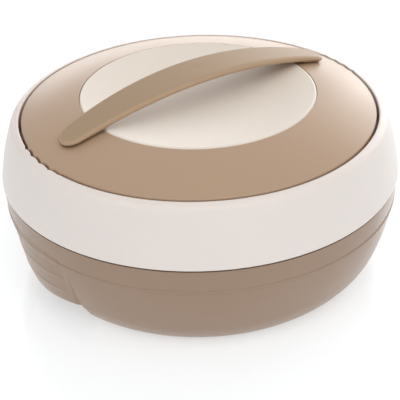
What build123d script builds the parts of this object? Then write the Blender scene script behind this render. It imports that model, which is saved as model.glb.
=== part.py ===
from build123d import *
import os
from math import asin, cos, degrees, hypot, pi, radians, sin, sqrt

# Insulated casserole for flatbread: a foam-filled base with a steel bowl, and a
# foam-filled lid with a strap handle that lifts straight off.
# Millimetres, +Z up. The origin is on the table under the middle of the base, and
# +X runs along the handle.

# ---- driving dimensions: overall form ----
body_r = 135.0            # widest radius, at the lower edge of the collar
base_h = 66.3             # base shell, foot edge to collar joint
base_tuck = 22.3          # how far the base draws in from the joint to its foot edge
knee_h = 20.4             # height where the wall turns under
knee_tuck = 9.0           # how far the wall has drawn in at the knee
wall_bulge = 1.7          # how far the wall stands outside a straight line, joint to knee
knee_bulge = 1.8          # the same, knee to foot
collar_h = 39.6           # collar, lower edge to the crown of its lip
collar_lean = 8.4         # how far the collar leans in below its lip
collar_bulge = 0.9        # how far the collar stands outside a straight line
lip_h = 5.0               # height of the rounded lip
lip_w = 6.4               # width of the rounded lip
lid_gap = 1.8             # open gap all round the lid
dish_r = 79.0             # white inlay in the lid
dish_rise = 11.8          # how far the inlay's edge stands above the lip crown
dome_bulge = 1.2          # crown of the brown ring of the lid
dish_depth = 8.7          # how far the middle of the inlay is sunk
foot_proud = 1.0          # rubber feet below the foot edge
foot_round = 1.0          # rounding of the foot edge

# ---- walls and gaps ----
shell_wall = 2.6
collar_wall = 2.4
lid_wall = 2.4
dish_wall = 2.2
liner_wall = 2.2
steel = 0.8
nest = 0.2                # gap between pieces that nest in one body
run = 0.3                 # gap between the lid and the base where the lid slides
thread_fit = 0.05         # radial gap between a screw and its hole

# ---- collar and base joint ----
joint_step = 0.6          # the shell edge lies this far inside the collar edge
collar_round = 0.7        # rounding of the collar's lower edge
shadow_h = 1.1            # groove round the shell, just under the collar
shadow_in = 1.2
spigot_h = 8.0
spigot_wall = 2.2
ledge_drop = 13.4         # lip crown down to the ledge that carries the lid
ledge_t = 2.0
ledge_w = 12.7            # ledge, inner wall to its free edge
inner_wall_t = 2.8

# ---- grip lobes at the foot, one under each end of the handle ----
lobe_angle = 15.2         # half of the angle that a lobe covers
lobe_proud = 4.0
lobe_low = 13.5           # underside of the lobe above the foot edge
lobe_high = 60.0          # where the lobe has died away
lobe_power = 1.45         # how the lobe dies away
lobe_root = 0.6           # how far the lobe's ends are sunk in the wall
lobe_edge = 0.8           # bevel along the lobe's lower edge
crease_deep = 1.3         # valley between a lobe and the plain wall, at its foot
crease_half = 2.6         # half of its width at the surface
crease_out = 2.0          # how far the cut for it starts outside the surface
crease_high = 46.0        # where the valley has died away
pocket_angle = 13.5       # half of the angle of the finger pocket inside a lobe
notch_angle = 17.4        # half of the angle cut from the foot edge under a lobe
pocket_in = 19.0          # pocket, from the shell surface inwards at the lobe's underside
pocket_h = 15.0           # roof of the pocket above the lobe's underside
lobe_lip = 3.4            # wall of the lobe outside the pocket

# ---- belt line on the shell ----
belt_h = 49.3
belt_proud = 0.6
belt_w = 2.6

# ---- scallops in the lid edge and the collar ----
scallop_pitch = 5.1       # degrees
scallop_count = 5
scallop_turn = -2.4       # degrees, handle's end round to the middle of the scallops
scallop_tip = 1.3         # cusp outside the plain edge
scallop_low = 0.1         # valley outside the plain edge
valley_place = 0.27       # where the valley lies along one scallop
edge_round = 1.0

# ---- steel bowl and what closes it ----
rim_w = 15.9              # turned-out rim of the bowl
rim_in = 3.9              # how far the rim shows inside the ledge
gasket_t = 1.0
gasket_w = 7.0
bowl_draft = 4.2
bowl_corner = 18.0
mouth_round = 2.0
foam_under = 7.0          # foam between the shell floor and the bowl

# ---- underside ----
floor_rise = 3.0          # shell floor above the foot edge
floor_margin = 14.7       # foot edge in to the recess for the bottom cover
cover_t = 2.4
foot_r = 8.0
foot_seat = 1.0           # depth of the seats for the feet
ring_in = 14.0            # recess edge in to the ring of feet and screws
foot_count = 4
plug_r = 12.0
plug_head = 3.0
plug_t = 1.6
screw_r = 1.5
screw_head_r = 3.0
screw_head_h = 1.5
screw_len = 9.0
boss_wall = 2.5
boss_h = 5.0

# ---- lid inside ----
liner_step = 2.0          # liner flange above the skirt's edge
skirt_step = 1.2          # ledge in the skirt that the liner flange meets
plug_wall_drop = 8.0      # ring wall of the liner below the ledge
plug_wall_gap = 2.6       # bowl mouth in to the ring wall
liner_dish = 2.0          # liner plate below the ledge
seal_h = 3.0
seal_seat = 1.0
seal_rise = 1.5
seal_round = 0.6
lid_hole_r = 9.0

# ---- handle ----
handle_reach = 104.9      # half length
handle_rise = 17.5        # crown of the strap above the inlay's edge
tip_rise = 5.4            # top of the tips above the lid's ring
handle_half_w = 15.0
handle_end_r = 12.0
handle_t = 4.4
handle_land_out = 5.5     # inlay's edge out to where the underside meets the lid
handle_gap = 0.1
handle_round = 2.4
mark_long = 2.6           # small oval recess in the crown
mark_wide = 1.6
mark_depth = 0.3
post_in = 10.0            # tip in to the posts that pass through the lid cover
post_r = 4.0
pad_r = 7.0
pad_drop = 5.4            # lid surface down to the washer seat
washer_r = 6.0
washer_t = 1.0
handle_screw_r = 1.75
handle_head_r = 3.6
handle_head_h = 2.2
handle_screw_len = 7.2

# ---- sizes that follow ----
foot_z = foot_proud
joint_z = foot_z + base_h
crown_z = joint_z + collar_h
ledge_z = crown_z - ledge_drop
ledge_low_z = ledge_z - ledge_t
joint_r = body_r - joint_step
knee_r = body_r - knee_tuck
foot_edge_r = body_r - base_tuck
collar_top_r = body_r - collar_lean
collar_in_r = collar_top_r - lip_w
lid_r = collar_in_r - lid_gap
ledge_in_r = collar_in_r - ledge_w
mouth_r = ledge_in_r - rim_in
dish_edge_z = crown_z + dish_rise
dish_mid_z = dish_edge_z - dish_depth
floor_z = foot_z + floor_rise
floor_top_z = floor_z + shell_wall
bowl_z = floor_top_z + foam_under
recess_r = foot_edge_r - floor_margin
ring_r = recess_r - ring_in
cover_z = floor_z - cover_t - nest
crown_top_z = dish_edge_z + handle_rise
handle_land = dish_r + handle_land_out
post_x = handle_reach - post_in
spigot_r = body_r - collar_wall - 2 * joint_step - nest * 2


def arc_mid(start, end, bulge):
    """Point on an arc between two profile points, bulge outwards from the chord's middle."""
    along_r = end[0] - start[0]
    along_z = end[1] - start[1]
    length = hypot(along_r, along_z)
    mid_r = (start[0] + end[0]) / 2
    mid_z = (start[1] + end[1]) / 2
    return (mid_r + bulge * along_z / length, mid_z - bulge * along_r / length)


def arc_radius_at(height, start, end, bulge):
    """Radius of the arc's surface at a height: the arc starts lower than it ends."""
    chord = hypot(end[0] - start[0], end[1] - start[1])
    big = (chord * chord / 4 + bulge * bulge) / (2 * bulge)
    mid = arc_mid(start, end, bulge - big)
    return mid[0] + sqrt(big * big - (height - mid[1]) ** 2)


def turned(*curves):
    """Solid of revolution about Z from curves drawn in radius and height."""
    return revolve(Plane.XZ * make_face(Curve() + list(curves)), Axis.Z)


def turned_outline(*points):
    return turned(Polyline(*points, close=True))


def round_below(body, radius):
    """Round the lowest edge of a turned body."""
    return fillet(body.edges().filter_by(GeomType.CIRCLE).sort_by(Axis.Z)[0], radius)


def disc(radius, low, high, x=0.0, y=0.0):
    return Pos(x, y, (low + high) / 2) * Cylinder(radius, high - low)


def around(radius, count, start=0.0):
    """Places on a circle, evenly spaced."""
    angles = [radians(start + 360 * i / count) for i in range(count)]
    return [(radius * cos(a), radius * sin(a)) for a in angles]


def polar(radius, angle):
    return (radius * cos(radians(angle)), radius * sin(radians(angle)))


def group(shapes):
    return Compound(children=[s.solid() for s in shapes])


# ---- the base shell's surface ----
knee = (knee_r, foot_z + knee_h)
joint = (joint_r, joint_z)
foot_edge = (foot_edge_r, foot_z)


def shell_radius(height):
    """Outer radius of the plain shell at a height above the table."""
    if height >= knee[1]:
        return arc_radius_at(height, knee, joint, wall_bulge)
    return arc_radius_at(height, foot_edge, knee, knee_bulge)


def shell_body(inset, low):
    """Solid inside the shell's surface, drawn in by inset and cut off at low."""
    top = (joint_r - inset, joint_z)
    bend = (knee_r - inset, foot_z + knee_h)
    edge = (shell_radius(low) - inset, low)
    drop = arc_mid(edge, bend, (bend[1] - low) / knee_h * knee_bulge)
    return turned(
        Line((0, low), edge),
        ThreePointArc(edge, drop, bend),
        ThreePointArc(bend, arc_mid(bend, top, wall_bulge), top),
        Line(top, (0, joint_z)),
        Line((0, joint_z), (0, low)),
    )


def lobe_section(height, middle, extra=0.0):
    """Crescent of one grip lobe at a height; middle is the angle it is centred on."""
    share = (height - foot_z - lobe_low) / (lobe_high - lobe_low)
    proud = lobe_proud * (1 - share ** lobe_power) - share * lobe_root + extra
    plain = shell_radius(height)
    left = polar(plain - lobe_root, middle - lobe_angle)
    right = polar(plain - lobe_root, middle + lobe_angle)
    crest = polar(plain + proud, middle)
    outline = Curve() + [ThreePointArc(left, crest, right), Line(right, left)]
    return Pos(0, 0, height) * make_face(outline)


def lobe(middle):
    low = foot_z + lobe_low + lobe_edge
    high = foot_z + lobe_high
    steps = 4
    heights = [low + (high - low) * i / steps for i in range(steps + 1)]
    body = loft([lobe_section(z, middle) for z in heights])
    bevel = loft([lobe_section(low - lobe_edge, middle, -lobe_edge), lobe_section(low, middle)])
    return body + bevel


def crease_section(height, angle):
    """Triangle that points inwards, for the valley at one side of a lobe."""
    share = (height - foot_z - lobe_low) / (crease_high - lobe_low)
    plain = shell_radius(height)
    spread = degrees(crease_half * (1 + crease_out / crease_deep) / plain)
    tip = polar(plain - crease_deep * (1 - share), angle)
    left = polar(plain + crease_out, angle - spread)
    right = polar(plain + crease_out, angle + spread)
    return Pos(0, 0, height) * make_face(Polyline(tip, right, left, close=True))


def crease(angle):
    low = foot_z + lobe_low - lobe_edge
    high = foot_z + crease_high
    steps = 3
    heights = [low + (high - low) * i / steps for i in range(steps + 1)]
    return loft([crease_section(z, angle) for z in heights])


def sector(outline, middle, half):
    """Outline in radius and height, turned through an angle on both sides of middle."""
    cut = revolve(Plane.XZ * make_face(outline), Axis.Z, 2 * half)
    return Rot(0, 0, middle - half) * cut


def pocket(middle, grow):
    """Space for the fingers under and behind a lobe, grown on all closed sides."""
    low = foot_z + lobe_low
    high = low + pocket_h + grow
    low_r = shell_radius(low) + lobe_proud / 2 - lobe_lip
    high_r = shell_radius(low + pocket_h) + lobe_proud / 2 - lobe_lip
    inner_r = shell_radius(low) - pocket_in - grow
    start_z = foot_z - shell_wall
    behind = Polyline(
        (inner_r, start_z), (low_r + grow, start_z), (low_r + grow, low),
        (high_r + grow, high), (inner_r, high), close=True)
    under = Polyline(
        (inner_r, start_z), (body_r, start_z), (body_r, low + grow),
        (inner_r, low + grow), close=True)
    more = degrees(asin(grow / low_r))
    room = sector(behind, middle, pocket_angle + more)
    return room + sector(under, middle, notch_angle + more)


sides = (0.0, 180.0)


def belt():
    """Low rounded bead round the shell."""
    z = foot_z + belt_h
    low = (shell_radius(z - belt_w / 2), z - belt_w / 2)
    high = (shell_radius(z + belt_w / 2), z + belt_w / 2)
    root = low[0] - shell_wall / 2
    return turned(
        Line((root, low[1]), low),
        ThreePointArc(low, arc_mid(low, high, belt_proud), high),
        Line(high, (root, high[1])),
        Line((root, high[1]), (root, low[1])),
    )


def make_base_shell():
    outside = round_below(shell_body(0, foot_z), foot_round) + belt()
    for side in sides:
        outside = outside + lobe(side)
        for angle in (side - lobe_angle, side + lobe_angle):
            outside = outside - crease(angle)
    spigot = disc(spigot_r, floor_z, joint_z + spigot_h)
    inside = shell_body(shell_wall, floor_top_z) & disc(body_r, 0, joint_z - shell_wall)
    inside = inside + disc(spigot_r - spigot_wall, joint_z - 2 * shell_wall, joint_z + spigot_h)
    for side in sides:
        outside = outside - pocket(side, 0)
        inside = inside - pocket(side, shell_wall)
    shell = outside + (spigot & disc(body_r, joint_z - nest, joint_z + spigot_h))
    shell = shell - inside
    shadow = disc(body_r, joint_z - shadow_h, joint_z)
    shell = shell - (shadow - disc(joint_r - shadow_in, joint_z - shadow_h, joint_z))
    shell = shell - disc(recess_r, foot_z - 1, floor_z)
    shell = shell - disc(plug_r, floor_z, floor_top_z)
    for x, y in around(ring_r, foot_count, 45):
        shell = shell + disc(screw_r + boss_wall, floor_top_z - nest, floor_top_z + boss_h, x, y)
        top = cover_z + screw_len + nest
        shell = shell - disc(screw_r + thread_fit, floor_z, top, x, y)
    return shell


def make_bottom_cover():
    plate = disc(recess_r - nest, cover_z, cover_z + cover_t)
    for x, y in around(ring_r, foot_count):
        plate = plate - disc(foot_r + nest / 2, cover_z, cover_z + foot_seat, x, y)
    for x, y in around(ring_r, foot_count, 45):
        plate = plate - disc(screw_r + thread_fit, cover_z, cover_z + cover_t, x, y)
        sink = Cone(screw_head_r + thread_fit, screw_r + thread_fit, screw_head_h)
        plate = plate - Pos(x, y, cover_z + screw_head_h / 2) * sink
    return plate - disc(plug_r + plug_head + nest, cover_z + cover_t - plug_t - nest,
                        cover_z + cover_t)


def make_cover_screws():
    screws = []
    for x, y in around(ring_r, foot_count, 45):
        head = Pos(x, y, cover_z + screw_head_h / 2) * Cone(screw_head_r, screw_r, screw_head_h)
        shank = disc(screw_r, cover_z + screw_head_h, cover_z + screw_len, x, y)
        slot = Pos(x, y, cover_z) * Box(screw_head_r * 1.4, screw_r / 2, screw_head_h / 2)
        screws.append(head + shank - slot)
    return group(screws)


def make_base_feet():
    top = cover_z + foot_seat
    feet = []
    for x, y in around(ring_r, foot_count):
        pad = disc(foot_r, 0, top, x, y)
        feet.append(chamfer(pad.edges().sort_by(Axis.Z)[0], foot_proud / 3))
    return group(feet)


def make_fill_plug():
    head = disc(plug_r + plug_head, floor_z - plug_t, floor_z)
    return head + disc(plug_r - nest / 2, floor_z, floor_top_z)


def bowl_body(grow, low_z, top_z):
    """Solid inside the bowl's wall; grow makes it larger on the wall and the floor."""
    top_r = mouth_r + grow
    low_r = mouth_r - bowl_draft + grow
    lean = bowl_draft / (top_z - low_z)
    corner = bowl_corner + grow
    floor_r = low_r - corner
    side = (low_r + lean * corner, low_z + corner)
    bend = (low_r - corner * (1 - sin(pi / 4)), low_z + corner * (1 - sin(pi / 4)))
    return turned(
        Line((0, low_z), (floor_r, low_z)),
        ThreePointArc((floor_r, low_z), bend, side),
        Line(side, (top_r, top_z)),
        Line((top_r, top_z), (0, top_z)),
        Line((0, top_z), (0, low_z)),
    )


rim_top_z = ledge_low_z - gasket_t
rim_low_z = rim_top_z - steel


def make_inner_bowl():
    rim = disc(mouth_r + rim_w, rim_low_z, rim_top_z)
    outside = bowl_body(steel, bowl_z - steel, rim_top_z) + rim
    bowl = outside - bowl_body(0, bowl_z, rim_top_z)
    mouth = bowl.edges().filter_by(GeomType.CIRCLE).group_by(Axis.Z)[-1].sort_by(
        lambda e: e.radius)[0]
    return fillet(mouth, steel * 0.6)


def make_bowl_gasket():
    outer = mouth_r + rim_w - 1
    return disc(outer, rim_top_z, ledge_low_z) - disc(outer - gasket_w, rim_top_z, ledge_low_z)


# ---- scalloped outline that the lid edge and the collar share ----
def scalloped(radius, low, high):
    """Upright column whose edge has leaning scallops at both ends of the handle."""
    half = scallop_count * scallop_pitch / 2
    curves = []
    for side in sides:
        middle = side + scallop_turn
        for i in range(scallop_count):
            start = middle - half + i * scallop_pitch
            first = 0 if i == 0 else scallop_tip
            last = 0 if i == scallop_count - 1 else scallop_tip
            curves.append(Spline(
                polar(radius + first, start),
                polar(radius + scallop_low, start + valley_place * scallop_pitch),
                polar(radius + 2 * scallop_low, start + 2 * valley_place * scallop_pitch),
                polar(radius + last, start + scallop_pitch),
            ))
        ends = (polar(radius, middle + half), polar(radius, middle + 180 - half))
        curves.append(ThreePointArc(ends[0], polar(radius, middle + 90), ends[1]))
    return Pos(0, 0, low) * extrude(make_face(Curve() + curves), high - low)


def collar_outside():
    low = (body_r, joint_z)
    top = (collar_top_r, crown_z - lip_h)
    crown = (collar_in_r + 1, crown_z)
    edge = (collar_in_r - scallop_tip, crown_z - 0.5)
    body = turned(
        Line((0, joint_z), low),
        ThreePointArc(low, arc_mid(low, top, collar_bulge), top),
        ThreePointArc(top, arc_mid(top, crown, lip_h * 0.22), crown),
        Line(crown, edge),
        Line(edge, (0, edge[1])),
        Line((0, edge[1]), (0, joint_z)),
    )
    return round_below(body, collar_round)


def collar_hollow():
    """Space inside the collar under its lip and ledge, open downwards."""
    spigot_gap_r = spigot_r + nest
    wall_r = collar_in_r + inner_wall_t
    shoulder_z = joint_z + spigot_h + nest
    top = (collar_top_r - collar_wall, crown_z - lip_h)
    start = (spigot_gap_r, shoulder_z)
    channel_z = crown_z - lip_h
    return turned(
        Line((0, joint_z), (spigot_gap_r, joint_z)),
        Line((spigot_gap_r, joint_z), start),
        ThreePointArc(start, arc_mid(start, top, collar_bulge / 2), top),
        Line(top, (wall_r, channel_z)),
        Line((wall_r, channel_z), (wall_r, ledge_low_z)),
        Line((wall_r, ledge_low_z), (0, ledge_low_z)),
        Line((0, ledge_low_z), (0, joint_z)),
    )


def make_collar_ring():
    collar = collar_outside() - collar_hollow()
    collar = collar - disc(ledge_in_r, ledge_low_z, crown_z)
    collar = collar - scalloped(collar_in_r, ledge_z, crown_z + lip_h)
    return collar


def make_base_foam():
    """Foam cast between the shell, the collar and the bowl."""
    fill = shell_body(shell_wall + nest, floor_top_z + nest)
    neck = spigot_r - spigot_wall - nest
    fill = fill & disc(body_r, 0, joint_z - shell_wall - nest)
    fill = fill + disc(neck, joint_z - shell_wall - 2 * nest, joint_z + spigot_h)
    crest = collar_top_r - collar_wall - nest
    fill = fill + turned_outline(
        (0, joint_z + spigot_h), (neck, joint_z + spigot_h),
        (crest + 2, rim_low_z - nest), (0, rim_low_z - nest))
    fill = fill - bowl_body(steel + nest, bowl_z - steel - nest, rim_top_z)
    for side in sides:
        fill = fill - pocket(side, shell_wall + nest)
    for x, y in around(ring_r, foot_count, 45):
        fill = fill - disc(screw_r + boss_wall + nest, floor_z, floor_top_z + boss_h + nest, x, y)
    return fill


# ---- lid surfaces ----
dome_in = (dish_r, dish_edge_z)
dome_out = (lid_r, crown_z)


def dome_height(radius):
    """Height of the brown ring's surface at a radius."""
    share = (radius - dish_r) / (lid_r - dish_r)
    straight = dish_edge_z + share * (crown_z - dish_edge_z)
    return straight + 4 * dome_bulge * share * (1 - share)


def dome_arc(drop, out_r, in_r=dish_r):
    """Arc of the ring, lowered by drop, from in_r out to out_r."""
    start = (in_r, dome_height(in_r) - drop)
    end = (out_r, dome_height(out_r) - drop)
    middle = (in_r + out_r) / 2
    return start, ThreePointArc(start, (middle, dome_height(middle) - drop), end), end


def well_arc(edge_r, edge_drop, mid_drop):
    """Arc of the sunk middle, from the axis out to edge_r."""
    start = (0, dish_mid_z - mid_drop)
    end = (edge_r, dish_edge_z - edge_drop)
    middle = (edge_r / 2, (start[1] * 3 + end[1]) / 4)
    return start, ThreePointArc(start, middle, end), end


seat_drop = dish_wall + 1.3     # inlay's edge down to its seat in the cover
pad_z = dome_height(post_x) - pad_drop
handle_fall = crown_top_z - dome_height(handle_reach) - tip_rise


def make_lid_cover():
    in_start, in_dome, in_end = dome_arc(0, lid_r + scallop_tip)
    mid_start, mid_arc, mid_end = well_arc(dish_r, seat_drop, dish_wall + nest)
    top = turned(
        mid_arc,
        Line(mid_end, in_start),
        in_dome,
        Line(in_end, (in_end[0], ledge_z)),
        Line((in_end[0], ledge_z), (0, ledge_z)),
        Line((0, ledge_z), mid_start),
    )
    skirt_in = lid_r - lid_wall
    step_z = ledge_z + liner_step + liner_wall
    low_start, low_dome, low_end = dome_arc(lid_wall, skirt_in - skirt_step, dish_r + lid_wall)
    well_edge = (seat_drop + lid_wall, dish_wall + nest + lid_wall)
    well_start, under, well_end = well_arc(dish_r, *well_edge)
    corner = (dish_r + lid_wall, well_end[1])
    hollow = turned(
        under,
        Line(well_end, corner),
        Line(corner, low_start),
        low_dome,
        Line(low_end, (low_end[0], step_z)),
        Line((low_end[0], step_z), (skirt_in, step_z)),
        Line((skirt_in, step_z), (skirt_in, ledge_z)),
        Line((skirt_in, ledge_z), (0, ledge_z)),
        Line((0, ledge_z), well_start),
    )
    blank = top & scalloped(lid_r, ledge_z, dish_edge_z + 1)
    rim = [e for e in blank.edges() if on_rim(e)]
    blank = fillet(rim, edge_round)
    cover = blank - hollow
    for x in (-post_x, post_x):
        pad = disc(pad_r, pad_z, pad_z + pad_drop, x) & hollow
        cover = cover + pad - disc(post_r + nest, pad_z - 1, dish_edge_z + 5, x)
    return cover


def on_rim(edge):
    """True for the upper edge of the lid's outline."""
    middle = edge.position_at(0.5)
    return hypot(middle.X, middle.Y) > lid_r - scallop_tip and middle.Z > ledge_z + lid_wall


def make_lid_dish():
    out_r = dish_r - nest
    lip_z = dish_edge_z + 0.4
    lip_r = out_r - 1.6
    in_start, inside, in_end = well_arc(lip_r - 1.2, -0.1, 0)
    low_start, under, low_end = well_arc(out_r, seat_drop - nest, dish_wall)
    return turned(
        inside,
        Line(in_end, (lip_r, lip_z)),
        ThreePointArc((lip_r, lip_z), (out_r - 0.5, lip_z - 0.4), (out_r, lip_z - 1.4)),
        Line((out_r, lip_z - 1.4), low_end),
        under,
        Line(low_start, in_start),
    )


def handle_arc_z(x):
    big = (handle_reach ** 2 + handle_fall ** 2) / (2 * handle_fall)
    return crown_top_z - (big - sqrt(big * big - x * x))


def handle_outline(inset, low, high):
    """Upright column with the strap's outline seen from above."""
    half_w = handle_half_w - inset
    end_r = handle_end_r - inset
    centre_x = handle_reach - handle_end_r
    spread = half_w - end_r
    offset = (centre_x ** 2 - spread ** 2) / (2 * spread)
    length = hypot(centre_x, offset)
    meet = (centre_x + end_r * centre_x / length, end_r * offset / length)
    tip = (centre_x + end_r, 0)
    outline = Curve() + [
        ThreePointArc((-meet[0], meet[1]), (0, half_w), meet),
        ThreePointArc(meet, tip, (meet[0], -meet[1])),
        ThreePointArc((meet[0], -meet[1]), (0, -half_w), (-meet[0], -meet[1])),
        ThreePointArc((-meet[0], -meet[1]), (-tip[0], 0), (-meet[0], meet[1])),
    ]
    return Pos(0, 0, low) * extrude(make_face(outline), high - low)


def strap_side():
    """The strap as it looks from the side, as wide as needed."""
    out = handle_reach + 2
    out_z = handle_arc_z(out)
    land_z = dome_height(handle_land) + handle_gap * 2
    base = crown_z - lip_h
    outline = Curve() + [
        ThreePointArc((-out, out_z), (0, crown_top_z), (out, out_z)),
        Line((out, out_z), (out, base)),
        Line((out, base), (handle_land, base)),
        Line((handle_land, base), (handle_land, land_z)),
        ThreePointArc((handle_land, land_z), (0, crown_top_z - handle_t), (-handle_land, land_z)),
        Line((-handle_land, land_z), (-handle_land, base)),
        Line((-handle_land, base), (-out, base)),
        Line((-out, base), (-out, out_z)),
    ]
    return extrude(Plane.XZ * make_face(outline), handle_half_w * 2, both=True)


def under_dome(gap):
    """Everything below the lid's ring, raised by gap."""
    start, arc, end = dome_arc(-gap, lid_r)
    return turned(
        Line((0, start[1]), start),
        arc,
        Line(end, (end[0], ledge_z)),
        Line((end[0], ledge_z), (0, ledge_z)),
        Line((0, ledge_z), (0, start[1])),
    )


def make_lid_handle():
    strap = strap_side() & handle_outline(0, crown_z - lip_h, crown_top_z + 1)
    top_edges = [e for e in strap.edges() if on_strap_top(e)]
    strap = fillet(top_edges, handle_round)
    strap = strap - under_dome(handle_gap)
    mark = Pos(0, 0, crown_top_z - mark_depth) * extrude(
        Ellipse(mark_long, mark_wide), mark_depth * 3)
    strap = strap - mark
    for x in (-post_x, post_x):
        strap = strap + disc(post_r, pad_z + nest, dome_height(post_x) + handle_gap * 10, x)
        top = pad_z + handle_screw_len - washer_t + nest
        strap = strap - disc(handle_screw_r + thread_fit, pad_z, top, x)
    return strap


def on_strap_top(edge):
    middle = edge.position_at(0.5)
    return abs(middle.Z - handle_arc_z(middle.X)) < 0.2 and abs(middle.Y) < handle_half_w + 1


def make_handle_washers():
    low = pad_z - washer_t
    return group([
        disc(washer_r, low, pad_z, x) - disc(handle_screw_r + nest, low, pad_z, x)
        for x in (-post_x, post_x)])


def make_handle_screws():
    seat = pad_z - washer_t
    screws = []
    for x in (-post_x, post_x):
        head = disc(handle_head_r, seat - handle_head_h, seat, x)
        head = fillet(head.edges().sort_by(Axis.Z)[0], handle_head_h / 3)
        cross = Box(handle_head_r, handle_screw_r / 2, handle_head_h)
        cut = Pos(x, 0, seat - handle_head_h) * (cross + Rot(0, 0, 90) * cross)
        shank = disc(handle_screw_r, seat, seat + handle_screw_len, x)
        screws.append(head - cut + shank)
    return group(screws)


wall_out_r = mouth_r - plug_wall_gap
wall_low_z = ledge_z - plug_wall_drop
plate_z = ledge_z - liner_dish
flange_z = ledge_z + liner_step


def make_lid_liner():
    flange = disc(lid_r - lid_wall - nest, flange_z, flange_z + liner_wall)
    body = flange + disc(wall_out_r, wall_low_z, flange_z + liner_wall)
    inner_r = wall_out_r - liner_wall
    body = body - disc(inner_r, wall_low_z, plate_z)
    body = body - disc(inner_r, plate_z + liner_wall, flange_z + liner_wall)
    seat_low = wall_low_z + seal_rise
    groove = disc(wall_out_r + 1, seat_low, seat_low + seal_h)
    body = body - (groove - disc(wall_out_r - seal_seat, seat_low, seat_low + seal_h))
    return body - disc(lid_hole_r, plate_z, plate_z + liner_wall)


def make_lid_seal():
    low = wall_low_z + seal_rise
    ring = disc(mouth_r - run, low + nest / 2, low + seal_h - nest / 2)
    outer = ring.edges().filter_by(GeomType.CIRCLE)
    ring = fillet(outer, seal_round)
    return ring - disc(wall_out_r - seal_seat + nest / 2, low, low + seal_h)


def make_lid_plug():
    head = disc(lid_hole_r + plug_head, plate_z - plug_t, plate_z)
    return head + disc(lid_hole_r - nest / 2, plate_z, plate_z + liner_wall)


def make_lid_foam():
    top_r = lid_r - lid_wall - skirt_step - nest
    floor_in = wall_out_r - liner_wall - nest
    step_r = dish_r + lid_wall + nest
    low_start, low_dome, low_end = dome_arc(lid_wall + nest, top_r, step_r)
    edge_drop = seat_drop + lid_wall + nest
    well_start, under, well_end = well_arc(dish_r, edge_drop, dish_wall + lid_wall + 2 * nest)
    corner = (step_r, well_end[1])
    shelf_z = flange_z + liner_wall
    plate_top = plate_z + liner_wall
    foam = turned(
        under,
        Line(well_end, corner),
        Line(corner, low_start),
        low_dome,
        Line(low_end, (top_r, shelf_z)),
        Line((top_r, shelf_z), (floor_in, shelf_z)),
        Line((floor_in, shelf_z), (floor_in, plate_top)),
        Line((floor_in, plate_top), (0, plate_top)),
        Line((0, plate_top), well_start),
    )
    for x in (-post_x, post_x):
        well_low = pad_z - washer_t - handle_head_h - nest
        foam = foam - disc(pad_r + nest, well_low, dish_edge_z, x)
    return foam


pieces = {
    "base_shell": make_base_shell,
    "bottom_cover": make_bottom_cover,
    "cover_screws": make_cover_screws,
    "base_feet": make_base_feet,
    "fill_plug": make_fill_plug,
    "base_foam": make_base_foam,
    "inner_bowl": make_inner_bowl,
    "bowl_gasket": make_bowl_gasket,
    "collar_ring": make_collar_ring,
    "lid_cover": make_lid_cover,
    "lid_dish": make_lid_dish,
    "lid_handle": make_lid_handle,
    "handle_washers": make_handle_washers,
    "handle_screws": make_handle_screws,
    "lid_foam": make_lid_foam,
    "lid_liner": make_lid_liner,
    "lid_seal": make_lid_seal,
    "lid_plug": make_lid_plug,
}

os.makedirs("parts", exist_ok=True)
for name, make in pieces.items():
    piece = make()
    export_step(piece, f"parts/{name}.step")
    print(name, round(piece.volume), "mm3")
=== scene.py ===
# %% [markdown]
# # An insulated casserole with a lift-off lid
#
# This lesson dresses a finished CAD model of a round serving casserole. The CAD
# solids are the frame: they keep every size, and they move in the physics model.
# Blender gives them a moulded-plastic skin, spun steel and soft rubber, rebuilds the
# strap handle as one smooth skin, lays low ribs on the grip lobes, and sets up a
# plain studio.

# %% Load the frame
from math import cos, pi, radians, sin

import bpy
from mathutils import Matrix, Vector


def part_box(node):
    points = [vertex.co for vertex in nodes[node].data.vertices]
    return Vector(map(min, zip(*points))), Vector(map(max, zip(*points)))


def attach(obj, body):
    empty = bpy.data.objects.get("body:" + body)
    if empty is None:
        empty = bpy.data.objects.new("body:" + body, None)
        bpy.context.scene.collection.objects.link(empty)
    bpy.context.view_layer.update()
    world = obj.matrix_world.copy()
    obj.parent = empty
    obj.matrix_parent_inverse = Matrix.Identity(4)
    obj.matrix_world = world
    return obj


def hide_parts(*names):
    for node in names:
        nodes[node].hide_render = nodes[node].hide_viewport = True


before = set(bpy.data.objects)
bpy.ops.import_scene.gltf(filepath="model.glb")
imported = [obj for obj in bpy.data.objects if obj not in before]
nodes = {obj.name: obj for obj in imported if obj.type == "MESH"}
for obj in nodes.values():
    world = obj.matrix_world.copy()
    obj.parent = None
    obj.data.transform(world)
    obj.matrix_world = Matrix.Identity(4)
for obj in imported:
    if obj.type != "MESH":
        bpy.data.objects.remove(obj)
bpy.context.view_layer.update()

# %% Measures taken from the frame
mm = 0.001
collar_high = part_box("collar_ring")[1]
cover_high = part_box("lid_cover")[1]
dish_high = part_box("lid_dish")[1]
handle_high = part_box("lid_handle")[1]
print("body is", round(collar_high.x * 2 / mm, 1), "mm across and",
      round(handle_high.z / mm, 1), "mm high")

# %% [markdown]
# ## Colours
#
# Colours are chosen in ordinary screen values from 0 to 255. Shaders work in
# linear light, so a small function turns one into the other. The lid's ring, the base
# shell and the strap each have their own shade of brown, and the dish is a warmer white
# than the collar. The shell's brown is partly its own colour and partly painted shade,
# for the shade that the base gets below the collar.


# %% Colour helper
def linear(red, green, blue):
    """Screen colour, 0 to 255, as a linear colour with alpha."""
    def channel(value):
        share = value / 255
        if share <= 0.04045:
            return share / 12.92
        return ((share + 0.055) / 1.055) ** 2.4
    return (channel(red), channel(green), channel(blue), 1.0)


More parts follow.
